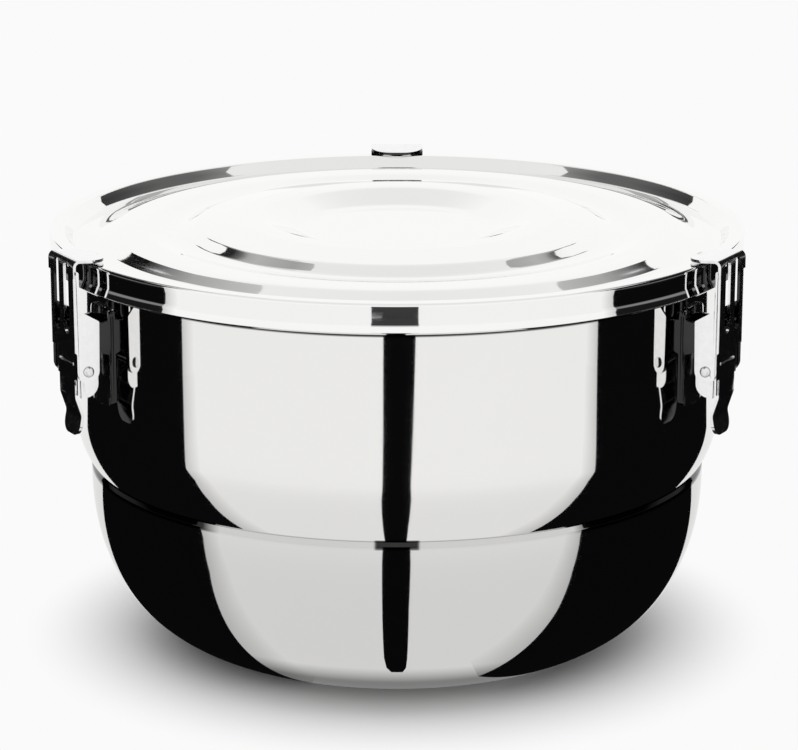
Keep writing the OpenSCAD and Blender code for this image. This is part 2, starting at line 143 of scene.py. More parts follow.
class ShellSizes(PropertyGroup):
    """Sizes of the two-tier body."""

    wall_radius: FloatProperty(name="Wall radius", description="Outer radius of the upper wall",
        default=117 * MM, unit="LENGTH")
    sheet: FloatProperty(name="Sheet", description="Thickness of the body's steel",
        default=0.8 * MM, unit="LENGTH")
    mouth_height: FloatProperty(name="Mouth height", description="Height of the rolled rim's top",
        default=BODY_HIGH.z, unit="LENGTH")
    waist_height: FloatProperty(name="Waist height", description="Height of the waist crease",
        default=67.8 * MM, unit="LENGTH")
    waist_inset: FloatProperty(name="Waist inset", description="How far the wall comes in at the waist",
        default=6.2 * MM, unit="LENGTH")
    tuck_radius: FloatProperty(name="Tuck radius", description="Curve from the wall into the waist",
        default=37 * MM, unit="LENGTH")
    shoulder_out: FloatProperty(name="Shoulder", description="How far the lower tier stands out",
        default=0.6 * MM, unit="LENGTH")
    shoulder_height: FloatProperty(name="Shoulder height", description="Slope under the waist crease",
        default=1.4 * MM, unit="LENGTH")
    shoulder_round: FloatProperty(name="Shoulder rounding", description="Lower tier's top edge",
        default=0.8 * MM, unit="LENGTH")
    bowl_rise: FloatProperty(name="Bowl rise", description="Height of the lower bowl's curve",
        default=64 * MM, unit="LENGTH")
    foot_radius: FloatProperty(name="Foot radius", description="Radius of the flat foot",
        default=58 * MM, unit="LENGTH")
    bowl_power: FloatProperty(name="Bowl power", description="Roundness of the lower bowl",
        default=2.2)
    bead_radius: FloatProperty(name="Rim roll", description="Radius of the rolled edge",
        default=2.2 * MM, unit="LENGTH")
    rim_bend: FloatProperty(name="Rim bend", description="Bend from the wall into the rim",
        default=1.5 * MM, unit="LENGTH")
    bead_turn: FloatProperty(name="Roll turn", description="How far round the sheet rolls",
        default=math.radians(215), subtype="ANGLE")


class LidSizes(PropertyGroup):
    """Sizes of the pressed lid, as runs inwards from its skirt and depths below its rim."""

    sheet: FloatProperty(name="Sheet", description="Thickness of the lid's steel",
        default=0.8 * MM, unit="LENGTH")
    rim_drop: FloatProperty(name="Rim drop", description="Depth of the rim below the ring's top",
        default=2.5 * MM, unit="LENGTH")
    skirt_height: FloatProperty(name="Skirt", description="Depth of the skirt below the rim",
        default=7.3 * MM, unit="LENGTH")
    flare: FloatProperty(name="Hem flare", description="How far the hem stands out from the skirt",
        default=0.6 * MM, unit="LENGTH")
    hem_round: FloatProperty(name="Hem rounding", description="Bend from the skirt into the hem",
        default=8 * MM, unit="LENGTH")
    flare_height: FloatProperty(name="Hem height", description="Height of the hem's slope",
        default=2.3 * MM, unit="LENGTH")
    rim_width: FloatProperty(name="Rim width", description="Width of the rim's top",
        default=5.8 * MM, unit="LENGTH")
    rim_round: FloatProperty(name="Rim rounding", description="Rounding of the rim's edges",
        default=1.0 * MM, unit="LENGTH")
    wall_round: FloatProperty(name="Wall rounding", description="Rounding at the wall's two ends",
        default=1.1 * MM, unit="LENGTH")
    wall_run: FloatProperty(name="Wall run", description="Run of the wall inside the rim",
        default=3.2 * MM, unit="LENGTH")
    groove_width: FloatProperty(name="Groove width", description="Width of the groove's floor",
        default=7 * MM, unit="LENGTH")
    groove_depth: FloatProperty(name="Groove depth", description="Depth of the groove",
        default=4.2 * MM, unit="LENGTH")
    plateau_run: FloatProperty(name="Plateau run", description="Slope up to the plateau",
        default=9.5 * MM, unit="LENGTH")
    plateau_width: FloatProperty(name="Plateau width", description="Width of the plateau",
        default=9.5 * MM, unit="LENGTH")
    plateau_depth: FloatProperty(name="Plateau depth", description="Depth of the plateau",
        default=1.0 * MM, unit="LENGTH")
    valley_run: FloatProperty(name="Valley run", description="Slope down to the valley",
        default=7 * MM, unit="LENGTH")
    valley_width: FloatProperty(name="Valley width", description="Width of the valley's floor",
        default=5 * MM, unit="LENGTH")
    valley_depth: FloatProperty(name="Valley depth", description="Depth of the valley",
        default=2.6 * MM, unit="LENGTH")
    ring_run: FloatProperty(name="Ring run", description="Steep slope up to the ring's flank",
        default=6.5 * MM, unit="LENGTH")
    flank_drop: FloatProperty(name="Flank drop", description="Depth of the flank's foot below the ring",
        default=2.1 * MM, unit="LENGTH")
    flank_run: FloatProperty(name="Flank run", description="Gentle flank of the inner ring",
        default=14.5 * MM, unit="LENGTH")
    ring_width: FloatProperty(name="Ring width", description="Width of the inner ring's top",
        default=8 * MM, unit="LENGTH")
    dish_run: FloatProperty(name="Dish run", description="Slope down to the sunk centre",
        default=14 * MM, unit="LENGTH")
    dish_depth: FloatProperty(name="Dish depth", description="Depth of the sunk centre",
        default=2.3 * MM, unit="LENGTH")
    press_round: FloatProperty(name="Press rounding", description="Rounding of the pressed steps",
        default=14 * MM, unit="LENGTH")
    ring_round: FloatProperty(name="Ring rounding", description="Rounding of the ring's flank",
        default=9 * MM, unit="LENGTH")


class SteelLook(PropertyGroup):
    """Colours and finishes of the metal and the seal, with the painted shades on the body and the latches.
    """

    body_colour: FloatVectorProperty(name="Body colour", description="Mirror steel of the body",
        default=(0.868, 0.862, 0.845), subtype="COLOR", size=3, min=0, max=1)
    # Partly the lid's own steel, partly a painted brightness for the brighter surroundings it reflects
    lid_steel_and_sheen: FloatVectorProperty(name="Lid colour", description="Mirror steel of the lid",
        default=(0.93, 0.927, 0.918), subtype="COLOR", size=3, min=0, max=1)
    # Painted reflection: the lower tier is darkened to stand in for the darker floor that it reflects
    painted_bowl_shade: FloatProperty(name="Bowl tone", description="Tone of the lower tier against the upper",
        default=0.87)
    # Painted shade on the shoulder under the waist crease
    painted_crease_shade: FloatProperty(name="Crease tone", description="Tone of the shoulder under the crease",
        default=0.70)
    # Painted shadow under the rolled rim; it also sets how dark the crease's painted reflections are
    painted_dark_tone: FloatProperty(name="Shadow tone", description="Tone of the rolled rim's underside",
        default=0.06)
    body_lines: FloatProperty(name="Body lines", description="Polishing lines on the body, per metre",
        default=900.0)
    lid_lines: FloatProperty(name="Lid lines", description="Polishing lines on the lid, per metre",
        default=1100.0)
    shell_rough: FloatProperty(name="Shell roughness", description="Roughness of the mirror polish",
        default=0.035)
    latch_colour: FloatVectorProperty(name="Latch colour", description="Pressed steel of the latches",
        default=(0.92, 0.92, 0.922), subtype="COLOR", size=3, min=0, max=1)
    # Painted shade on the latches' inner sides, which stand in shade between the parts
    inside_tone: FloatProperty(name="Inside tone", description="Tone of the latches' dull inner sides",
        default=0.05)
    latch_rough: FloatProperty(name="Latch roughness", description="Roughness of the latches",
        default=0.11)
    pin_rough: FloatProperty(name="Pin roughness", description="Roughness of the pins and rivets",
        default=0.143)
    pin_colour: FloatVectorProperty(name="Pin colour", description="Steel of the pins and rivets",
        default=(0.84, 0.84, 0.845), subtype="COLOR", size=3, min=0, max=1)
    seal_colour: FloatVectorProperty(name="Seal colour", description="Silicone of the sealing ring",
        default=(0.86, 0.86, 0.83), subtype="COLOR", size=3, min=0, max=1)
    edge_bevel: FloatProperty(name="Edge rounding", description="Rounding of the latches' edges",
        default=0.18 * MM, unit="LENGTH")
    edge_steps: IntProperty(name="Edge steps", description="Segments of the rounded edges", default=2)


class StudioSetup(PropertyGroup):
    """The camera, the white floor and the dark cards that the mirror steel reflects."""

    camera_distance: FloatProperty(name="Camera distance", description="Distance in front of the axis",
        default=1.125, unit="LENGTH")
    camera_height: FloatProperty(name="Camera height", description="Height above the floor",
        default=0.4019, unit="LENGTH")
    camera_pitch: FloatProperty(name="Camera pitch", description="How far the camera looks down",
        default=math.radians(15.234), subtype="ANGLE")
    camera_lens: FloatProperty(name="Lens", description="Focal length in millimetres", default=144.37)
    camera_shift: FloatProperty(name="Shift", description="Sideways shift of the view", default=0.0025)
    # The floor's grey and its blend into white, from shade near to shade far, paint part of the shadow
    # round the foot
    floor_colour: FloatVectorProperty(name="Floor colour", description="Pale floor",
        default=(0.62, 0.62, 0.62), subtype="COLOR", size=3, min=0, max=1)
    backdrop_colour: FloatVectorProperty(name="Backdrop colour", description="White further out",
        default=(0.955, 0.955, 0.955), subtype="COLOR", size=3, min=0, max=1)
    shade_near: FloatProperty(name="Shade near", description="Where the floor starts to turn white",
        default=0.0755, unit="LENGTH")
    shade_far: FloatProperty(name="Shade far", description="Where the floor is plain white",
        default=0.14, unit="LENGTH")
    card_colour: FloatVectorProperty(name="Card colour", description="Black side cards",
        default=(0.003, 0.003, 0.0035), subtype="COLOR", size=3, min=0, max=1)
    sky_strength: FloatProperty(name="Sky strength", description="Light of the white surroundings",
        default=0.8)
    lamp_power: FloatProperty(name="Lamp power", description="Power of the overhead lamp in watts",
        default=9.0)


def unit(vectors):
    """Each row divided by its length."""
    return vectors / np.linalg.norm(vectors, axis=-1, keepdims=True)


def left_of(vectors):
    """Each row turned a quarter turn to its left."""
    return np.stack([-vectors[..., 1], vectors[..., 0]], axis=-1)


def arc(centre, radius, start, end, steps):
    """Points centre + radius (cos t, sin t) for steps + 1 even values of t from start to end."""
    t = np.linspace(start, end, steps + 1)
    return np.array(centre) + radius * np.stack([np.cos(t), np.sin(t)], axis=1)


def rounded_corner(before, corner, after, radius):
    """Arc that touches both legs of a corner.

    Its centre lies radius / sin(half angle) along the bisector."""
    to_before = unit(before - corner)
    to_after = unit(after - corner)
    half = math.acos(float(np.clip(to_before @ to_after, -1, 1))) / 2
    run = radius / math.tan(half)
    centre = corner + unit(to_before + to_after) * radius / math.sin(half)
    start = corner + run * to_before - centre
    end = corner + run * to_after - centre
    first = math.atan2(start[1], start[0])
    sweep = (math.atan2(end[1], end[0]) - first + math.pi) % (2 * math.pi) - math.pi
    return arc(centre, radius, first, first + sweep, CORNER_STEPS)


def rounded_path(stations):
    """Open path through (x, y, radius) stations, with an arc of that radius at each inner one."""
    points = np.array([s[:2] for s in stations])
    parts = [points[:1]]
    for i in range(1, len(stations) - 1):
        if stations[i][2] > 0:
            parts.append(rounded_corner(points[i - 1], points[i], points[i + 1], stations[i][2]))
        else:
            parts.append(points[i:i + 1])
    parts.append(points[-1:])
    return np.concatenate(parts)


def filled(path):
    """The path with its long straight runs cut into pieces no longer than RUN_STEP."""
    lengths = np.linalg.norm(np.diff(path, axis=0), axis=1)
    counts = np.maximum(1, np.ceil(lengths / RUN_STEP)).astype(int)
    runs = [np.linspace(a, b, n, endpoint=False) for a, b, n in zip(path[:-1], path[1:], counts)]
    return np.concatenate(runs + [path[-1:]])


def beside(path, distance):
    """The path moved to its left.

    Each point goes along the mean of its two normals, lengthened at bends."""
    normals = left_of(unit(np.diff(path, axis=0)))
    before = np.concatenate([normals[:1], normals])
    after = np.concatenate([normals, normals[-1:]])
    mean = unit(before + after)
    return path + mean * distance / np.sum(mean * before, axis=1, keepdims=True)


def sheet_outline(path, thickness):
    """Outline of a sheet: out along the path and back along the same path moved sideways."""
    return np.concatenate([path, beside(path, thickness)[::-1]])


def new_piece(name, verts, quads, tris):
    """Mesh object from arrays of corners and faces, turned outwards by its signed volume."""
    corners = np.concatenate([quads[:, [0, 1, 2]], quads[:, [0, 2, 3]], tris])
    a, b, c = (verts[corners[:, k]] for k in range(3))
    inside_out = np.sum(a * np.cross(b, c)) < 0
    faces = quads.tolist() + tris.tolist()
    if inside_out:
        faces = [f[::-1] for f in faces]
    mesh = bpy.data.meshes.new(name)
    mesh.from_pydata(verts.tolist(), [], faces)
    mesh.validate()
    mesh.shade_smooth()
    mesh.set_sharp_from_angle(angle=SMOOTH_LIMIT)
    piece = bpy.data.objects.new(name, mesh)
    bpy.context.scene.collection.objects.link(piece)
    return piece


def lathe_piece(name, outline):
    """Surface (r cos t, r sin t, z) of a half-section (r, z) turned round the axis, t over a full turn.

    Both ends of the half-section lie on the axis, where fans close the surface."""
    rows = outline[1:-1]
    t = np.linspace(0, 2 * math.pi, LATHE_SIDES, endpoint=False)
    grid = np.stack([
        rows[:, :1] * np.cos(t),
        rows[:, :1] * np.sin(t),
        np.repeat(rows[:, 1:], LATHE_SIDES, axis=1),
    ], axis=-1)
    poles = np.array([[0, 0, outline[0, 1]], [0, 0, outline[-1, 1]]])
    verts = np.concatenate([grid.reshape(-1, 3), poles])
    i, j = np.meshgrid(np.arange(len(rows) - 1), np.arange(LATHE_SIDES), indexing="ij")
    here, over = i * LATHE_SIDES, (i + 1) * LATHE_SIDES
    next_j = (j + 1) % LATHE_SIDES
    quads = np.stack([here + j, here + next_j, over + next_j, over + j], axis=-1).reshape(-1, 4)
    k = np.arange(LATHE_SIDES)
    next_k = (k + 1) % LATHE_SIDES
    last = (len(rows) - 1) * LATHE_SIDES
    low = np.stack([np.full_like(k, len(verts) - 2), next_k, k], axis=1)
    high = np.stack([np.full_like(k, len(verts) - 1), last + k, last + next_k], axis=1)
    return new_piece(name, verts, quads, np.concatenate([low, high]))


def body_outline(s):
    """Half-section of the body: foot, superellipse bowl, shoulder, waist, arc, wall and rolled rim."""
    lower = s.wall_radius - s.waist_inset + s.shoulder_out
    t = np.linspace(0, math.pi / 2, BOWL_STEPS)
    power = 2 / s.bowl_power
    bowl = np.stack([
        s.foot_radius + (lower - s.foot_radius) * np.sin(t) ** power,
        s.bowl_rise * (1 - np.maximum(np.cos(t), 0) ** power),
    ], axis=1)
    turn = math.acos(1 - s.waist_inset / s.tuck_radius)
    tuck_centre = (s.wall_radius - s.tuck_radius, s.waist_height + s.tuck_radius * math.sin(turn))
    shoulder = rounded_path([
        (lower, s.bowl_rise, 0),
        (lower, s.waist_height - s.shoulder_height, s.shoulder_round),
        (s.wall_radius - s.waist_inset, s.waist_height, 0),
    ])
    bead_x = BODY_HIGH.x - s.bead_radius
    bend = rounded_path([
        (s.wall_radius, tuck_centre[1], 0),
        (s.wall_radius, s.mouth_height - s.sheet, s.rim_bend),
        (bead_x, s.mouth_height - s.sheet, 0),
    ])
    outside = np.concatenate([
        [[0, BODY_LOW.z]],
        bowl,
        shoulder[1:-1],
        arc(tuck_centre, s.tuck_radius, -turn, 0, 3 * CORNER_STEPS),
        bend[1:-1],
        arc((bead_x, s.mouth_height - s.bead_radius), s.bead_radius - s.sheet,
            math.pi / 2, math.pi / 2 - s.bead_turn, 2 * CORNER_STEPS),
    ])
    return sheet_outline(filled(outside), s.sheet)


def lid_outline(s):
    """Half-section of the lid: centre, dish, ring, valley, plateau, groove, rim channel and skirt."""
    rim_z = LID_HIGH.z - s.rim_drop
    edge = LID_HIGH.x
    skirt = edge - s.flare
    hem_z = rim_z - s.skirt_height
    runs = np.cumsum([s.rim_width, s.wall_run, s.groove_width, s.plateau_run, s.plateau_width,
        s.valley_run, s.valley_width, s.ring_run, s.flank_run, s.ring_width, s.dish_run])
    (wall, groove_out, groove_in, plateau_out, plateau_in, valley_out, valley_in, flank, ring_out,
        ring_in, dish) = edge - runs
    press = s.press_round
    top = rounded_path([
        (0, rim_z - s.dish_depth, 0),
        (dish, rim_z - s.dish_depth, press),
        (ring_in, LID_HIGH.z, press),
        (ring_out, LID_HIGH.z, s.ring_round),
        (flank, LID_HIGH.z - s.flank_drop, s.ring_round),
        (valley_in, rim_z - s.valley_depth, s.ring_round),
        (valley_out, rim_z - s.valley_depth, press),
        (plateau_in, rim_z - s.plateau_depth, press),
        (plateau_out, rim_z - s.plateau_depth, press),
        (groove_in, rim_z - s.groove_depth, press),
        (groove_out, rim_z - s.groove_depth, s.wall_round),
        (wall, rim_z, s.wall_round),
        (skirt, rim_z, s.rim_round),
        (skirt, hem_z, s.hem_round),
        (edge, hem_z - s.flare_height, s.flare / 2),
        (skirt, hem_z - s.flare_height - s.flare, 0),
    ])
    return sheet_outline(filled(top), -s.sheet)


def new_group(name, inputs, outputs):
    """Empty shader node group with float, vector or colour sockets, and its two end nodes."""
    group = bpy.data.node_groups.new(name, "ShaderNodeTree")
    for title, kind, default in inputs:
        socket = group.interface.new_socket(title, in_out="INPUT", socket_type=kind)
        if default is not None:
            socket.default_value = default
    for title, kind in outputs:
        group.interface.new_socket(title, in_out="OUTPUT", socket_type=kind)
    return group, group.nodes.new("NodeGroupInput"), group.nodes.new("NodeGroupOutput")


def add_node(tree, kind, **values):
    """A node of that kind. Each value sets a property, or an input where the name is one."""
    node = tree.nodes.new(kind)
    for key, value in values.items():
        if key in node.inputs:
            node.inputs[key].default_value = value
        else:
            setattr(node, key, value)
    return node


def feed(tree, value, socket):
    """Links the value into the socket where it is a socket itself, and else sets it there."""
    if isinstance(value, bpy.types.NodeSocket):
        tree.links.new(value, socket)
    else:
        socket.default_value = value


def calculated(tree, operation, *values):
    """Result of a maths node, whose values are sockets or numbers."""
    node = add_node(tree, "ShaderNodeMath", operation=operation)
    for value, socket in zip(values, node.inputs):
        feed(tree, value, socket)
    return node.outputs[0]


def stretched(tree, vector, factors):
    """The vector with each of its parts multiplied by its own factor."""
    node = add_node(tree, "ShaderNodeVectorMath", operation="MULTIPLY")
    feed(tree, vector, node.inputs[0])
    feed(tree, factors, node.inputs[1])
    return node.outputs[0]


def length_of(tree, vector):
    """Length of a vector socket."""
    node = add_node(tree, "ShaderNodeVectorMath", operation="LENGTH")
    feed(tree, vector, node.inputs[0])
    return node.outputs["Value"]


def carried(tree, value, source, target, **values):
    """The value carried from between the source's two bounds to between the target's two."""
    node = add_node(tree, "ShaderNodeMapRange", **values)
    for title, given in zip(("Value", "From Min", "From Max", "To Min", "To Max"),
            (value, *source, *target)):
        feed(tree, given, node.inputs[title])
    return node.outputs["Result"]


def noise(tree, place, scale, detail, roughness):
    """Noise at the place, from 0 to 1."""
    node = add_node(tree, "ShaderNodeTexNoise", Detail=detail, Roughness=roughness)
    feed(tree, place, node.inputs["Vector"])
    feed(tree, scale, node.inputs["Scale"])
    return node.outputs["Fac"]


def polish_group():
    """Polishing marks that run round the axis, with faint smudges.

    The marks are a noise stretched along the turn: slow in x and y, quick in height plus radius."""
    group, start, end = new_group("polish_marks",
        [("Vector", "NodeSocketVector", None), ("Lines", "NodeSocketFloat", 900.0),
         ("Wave", "NodeSocketFloat", 22.0), ("Low", "NodeSocketFloat", 0.02),
         ("High", "NodeSocketFloat", 0.06)],
        [("Height", "NodeSocketFloat"), ("Swell", "NodeSocketFloat"), ("Roughness", "NodeSocketFloat"),
         ("Tone", "NodeSocketFloat")])
    place = start.outputs["Vector"]
    parts = add_node(group, "ShaderNodeSeparateXYZ")
    feed(group, place, parts.inputs[0])
    flat = stretched(group, place, (1, 1, 0))
    height = calculated(group, "ADD", length_of(group, flat), parts.outputs["Z"])
    slow = add_node(group, "ShaderNodeSeparateXYZ")
    feed(group, stretched(group, flat, (18, 18, 0)), slow.inputs[0])
    joined = add_node(group, "ShaderNodeCombineXYZ")
    feed(group, slow.outputs["X"], joined.inputs["X"])
    feed(group, slow.outputs["Y"], joined.inputs["Y"])
    feed(group, calculated(group, "MULTIPLY", height, start.outputs["Lines"]), joined.inputs["Z"])
    marks = noise(group, joined.outputs[0], scale=1.0, detail=4.0, roughness=0.65)
    smudge = noise(group, place, scale=14.0, detail=5.0, roughness=0.6)
    swell = noise(group, place, scale=start.outputs["Wave"], detail=1.0, roughness=0.4)
    mixed = calculated(group, "MULTIPLY", smudge, marks)
    rough = carried(group, mixed, (0.12, 0.42), (start.outputs["Low"], start.outputs["High"]))
    feed(group, marks, end.inputs["Height"])
    feed(group, swell, end.inputs["Swell"])
    feed(group, rough, end.inputs["Roughness"])
    feed(group, carried(group, smudge, (0.3, 0.7), (0.985, 1.0)), end.inputs["Tone"])
    return group


def grain_group():
    """Short drawn lines of pressed sheet with a fine pebble, for the latches."""
    group, start, end = new_group("pressed_grain",
        [("Vector", "NodeSocketVector", None), ("Low", "NodeSocketFloat", 0.1),
         ("High", "NodeSocketFloat", 0.2)],
        [("Height", "NodeSocketFloat"), ("Roughness", "NodeSocketFloat"), ("Tone", "NodeSocketFloat")])
    place = start.outputs["Vector"]
    drawn = stretched(group, place, (2600, 2600, 120))
    lines = noise(group, drawn, scale=1.0, detail=3.0, roughness=0.6)
    pebble = noise(group, place, scale=420.0, detail=3.0, roughness=0.5)
    both = calculated(group, "ADD", lines, pebble)
    rough = carried(group, both, (0.7, 1.3), (start.outputs["Low"], start.outputs["High"]))
    feed(group, both, end.inputs["Height"])
    feed(group, rough, end.inputs["Roughness"])
    feed(group, carried(group, pebble, (0.3, 0.7), (0.94, 1.0)), end.inputs["Tone"])
    return group


def shared_group(name, maker):
    """The node group of that name, made on its first use."""
    return bpy.data.node_groups.get(name) or maker()


def bare_material(name):
    """Node material with only its output, and the tree that holds it."""
    material = bpy.data.materials.new(name)
    material.use_nodes = True
    material.node_tree.nodes.clear()
    out = material.node_tree.nodes.new("ShaderNodeOutputMaterial")
    return material, material.node_tree, out


def toned_colour(tree, colour, tone):
    """The colour times a slowly varying tone."""
    mix = add_node(tree, "ShaderNodeMix", data_type="RGBA", blend_type="MULTIPLY")
    mix.inputs["Factor"].default_value = 1.0
    colour_a = next(s for s in mix.inputs if s.name == "A" and s.type == "RGBA")
    colour_b = next(s for s in mix.inputs if s.name == "B" and s.type == "RGBA")
    colour_a.default_value = (*colour, 1)
    feed(tree, tone, colour_b)
    return next(s for s in mix.outputs if s.type == "RGBA")


def tone_ramp(tree, stops):
    """Colour ramp of greys through (place, tone) stops."""
    ramp = add_node(tree, "ShaderNodeValToRGB")
    marks = ramp.color_ramp.elements
    while len(marks) < len(stops):
        marks.new(1.0)
    for mark, (place, tone) in zip(marks, stops):
        mark.position = place
        mark.color = (tone, tone, tone, 1)
    return ramp


def axis_ramp(tree, place, axis, stops):
    """Grey that follows (distance, tone) stops along one axis of the piece, to both sides of 0."""
    parts = add_node(tree, "ShaderNodeSeparateXYZ")
    feed(tree, place, parts.inputs[0])
    top = stops[-1][0]
    distance = calculated(tree, "DIVIDE", calculated(tree, "ABSOLUTE", parts.outputs[axis]), top)
    ramp = tone_ramp(tree, [(mark / top, tone) for mark, tone in stops])
    feed(tree, distance, ramp.inputs["Fac"])
    return ramp.outputs["Color"]


def shade_stops(base, marks, before, full, after):
    """Stops (height, tone) of a shade between two tones, at four marks in millimetres over a base."""
    tones = (before, full, full, after)
    return [(base + mark * MM, tone) for mark, tone in zip(marks, tones)]


def painted_body_shade(tree, place, sizes, look):
    """Painted shade on the body by height: bowl, shoulder, crease, wall and the underside of the roll.

    The crease's painted dark reflections fall only where CREASE_REACH says so."""
    waist = sizes.waist_height
    roll = sizes.mouth_height - 2 * sizes.bead_radius
    # Painted: the bowl darker as a painted reflection, shade on the shoulder, a shadow under the roll
    tiers = axis_ramp(tree, place, "Z", [
        (0, look.painted_bowl_shade),
        *shade_stops(waist, SHOULDER_SHADE, look.painted_bowl_shade, look.painted_crease_shade, 1.0),
        *shade_stops(roll, ROLL_SHADE, 1.0, look.painted_dark_tone, 1.0),
    ])
    # Painted dark reflections on the crease, under the reflected strip and at the dark sides
    band = axis_ramp(tree, place, "Z",
        [(0, 0), *shade_stops(waist, CREASE_SHADE, 0.0, 1.0 - look.painted_dark_tone, 0.0), (roll, 0)])
    reach = axis_ramp(tree, place, "X", CREASE_REACH)
    crease = calculated(tree, "SUBTRACT", 1.0, calculated(tree, "MULTIPLY", band, reach))
    return calculated(tree, "MULTIPLY", tiers, crease)


def mirror_steel(name, look, colour, lines, sizes=None):
    """Mirror-polished sheet: faint lines round the axis, a slow swell and light smudges.

    With the body's sizes it also has the body's painted shade and painted reflections."""
    material, tree, out = bare_material(name)
    place = add_node(tree, "ShaderNodeTexCoord").outputs["Object"]
    marks = add_node(tree, "ShaderNodeGroup", node_tree=shared_group("polish_marks", polish_group))
    marks.inputs["Lines"].default_value = lines
    marks.inputs["Low"].default_value = look.shell_rough * SHELL_SPREAD[0]
    marks.inputs["High"].default_value = look.shell_rough * SHELL_SPREAD[1]
    feed(tree, place, marks.inputs["Vector"])
    swell = add_node(tree, "ShaderNodeBump", Strength=1.0, Distance=SWELL_HEIGHT)
    feed(tree, marks.outputs["Swell"], swell.inputs["Height"])
    fine = add_node(tree, "ShaderNodeBump", Strength=1.0, Distance=MARK_HEIGHT)
    feed(tree, marks.outputs["Height"], fine.inputs["Height"])
    feed(tree, swell.outputs["Normal"], fine.inputs["Normal"])
    tone = marks.outputs["Tone"]
    # Painted shade and painted reflections of the body, multiplied into the smudge tone
    if sizes:
        tone = calculated(tree, "MULTIPLY", tone, painted_body_shade(tree, place, sizes, look))
    shader = add_node(tree, "ShaderNodeBsdfPrincipled", Metallic=1.0)
    feed(tree, toned_colour(tree, colour, tone), shader.inputs["Base Color"])
    feed(tree, marks.outputs["Roughness"], shader.inputs["Roughness"])
    feed(tree, fine.outputs["Normal"], shader.inputs["Normal"])
    feed(tree, shader.outputs["BSDF"], out.inputs["Surface"])
    return material


def grained(tree, low, high):
    """The pressed grain at the piece's own place, between two roughnesses."""
    place = add_node(tree, "ShaderNodeTexCoord")
    grain = add_node(tree, "ShaderNodeGroup", node_tree=shared_group("pressed_grain", grain_group))
    grain.inputs["Low"].default_value = low
    grain.inputs["High"].default_value = high
    feed(tree, place.outputs["Object"], grain.inputs["Vector"])
    return grain


def pressed_steel(name, colour, rough, inside_tone):
    """Pressed and tumbled sheet of the latches and pins: short lines and a fine pebble.

    Where the shade attribute is 1 the steel is dark: a painted shade on the inner sides, which stand in
    shade between the parts."""
    material, tree, out = bare_material(name)
    grain = grained(tree, rough * LATCH_SPREAD[0], rough * LATCH_SPREAD[1])
    bump = add_node(tree, "ShaderNodeBump", Strength=0.5, Distance=GRAIN_HEIGHT)
    feed(tree, grain.outputs["Height"], bump.inputs["Height"])
    # Painted shade: the marked inner sides are darkened towards the inner tone
    inside = add_node(tree, "ShaderNodeAttribute", attribute_name="inside")
    darkened = carried(tree, inside.outputs["Fac"], (0.0, 1.0), (1.0, inside_tone))
    tone = calculated(tree, "MULTIPLY", grain.outputs["Tone"], darkened)
    shader = add_node(tree, "ShaderNodeBsdfPrincipled", Metallic=1.0)
    feed(tree, toned_colour(tree, colour, tone), shader.inputs["Base Color"])
    feed(tree, grain.outputs["Roughness"], shader.inputs["Roughness"])
    feed(tree, bump.outputs["Normal"], shader.inputs["Normal"])
    feed(tree, shader.outputs["BSDF"], out.inputs["Surface"])
    return material


def silicone(name, colour):
    """Milky food-grade silicone with a faint moulded mottle."""
    material, tree, out = bare_material(name)
    grain = grained(tree, *SEAL_ROUGHNESS)
    shader = add_node(tree, "ShaderNodeBsdfPrincipled")
    shader.inputs["Subsurface Weight"].default_value = 0.3
    shader.inputs["Subsurface Scale"].default_value = 0.002
    feed(tree, toned_colour(tree, colour, grain.outputs["Tone"]), shader.inputs["Base Color"])
    feed(tree, grain.outputs["Roughness"], shader.inputs["Roughness"])
    feed(tree, shader.outputs["BSDF"], out.inputs["Surface"])
    return material


def finish_piece(piece, material, body, slot, *nodes):
    """Gives a new piece its material and its body, and hides the nodes that it stands for; the slot is not
    used.
    """
    piece.data.materials.clear()
    piece.data.materials.append(material)
    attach(piece, body)
    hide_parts(*nodes)


def mark_inside(mesh, angle, flanks):
    """Attribute for the painted shade: 1 on faces that look towards the axis or the latch's middle plane,
    else 0.

    The angle is the latch's direction. With flanks set, the outer side faces are marked too."""
    count = len(mesh.polygons)
    centres, normals = np.empty(3 * count), np.empty(3 * count)
    mesh.polygons.foreach_get("center", centres)
    mesh.polygons.foreach_get("normal", normals)
    across = np.array([-math.sin(angle), math.cos(angle), 0])
    outwards = np.array([math.cos(angle), math.sin(angle), 0])
    centres, normals = centres.reshape(-1, 3), normals.reshape(-1, 3)
    marked = normals @ outwards < -INWARD_SHARE
    marked |= (normals @ across) * np.sign(centres @ across) < -INWARD_SHARE
    if flanks:
        marked |= np.abs(normals @ across) > FLANK_SHARE
    mark = mesh.attributes.new("inside", "FLOAT", "FACE")
    mark.data.foreach_set("value", marked.astype(np.float32))


def eased_copy(node, name, look, angle, flanks):
    """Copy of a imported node: loose triangles merged, flats joined and edges rounded."""
    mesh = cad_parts[node].data.copy()
    mesh.name = name
    work = bmesh.new()
    work.from_mesh(mesh)
    bmesh.ops.remove_doubles(work, verts=work.verts, dist=MERGE_GAP)
    bmesh.ops.dissolve_limit(work, angle_limit=FLAT_LIMIT, verts=work.verts, edges=work.edges,
        use_dissolve_boundaries=False, delimit=set())
    work.to_mesh(mesh)
    work.free()
    # Marks the sheltered faces for the latches' painted shade
    mark_inside(mesh, angle, flanks)
    piece = bpy.data.objects.new(name, mesh)
    bpy.context.scene.collection.objects.link(piece)
    bevel = piece.modifiers.new("rounded edges", "BEVEL")
    bevel.width = look.edge_bevel
    bevel.segments = look.edge_steps
    bevel.limit_method = "ANGLE"
    bevel.angle_limit = BEVEL_LIMIT
    bevel.use_clamp_overlap = True
    mesh.shade_smooth()
    mesh.set_sharp_from_angle(angle=LATCH_SMOOTH)
    return piece


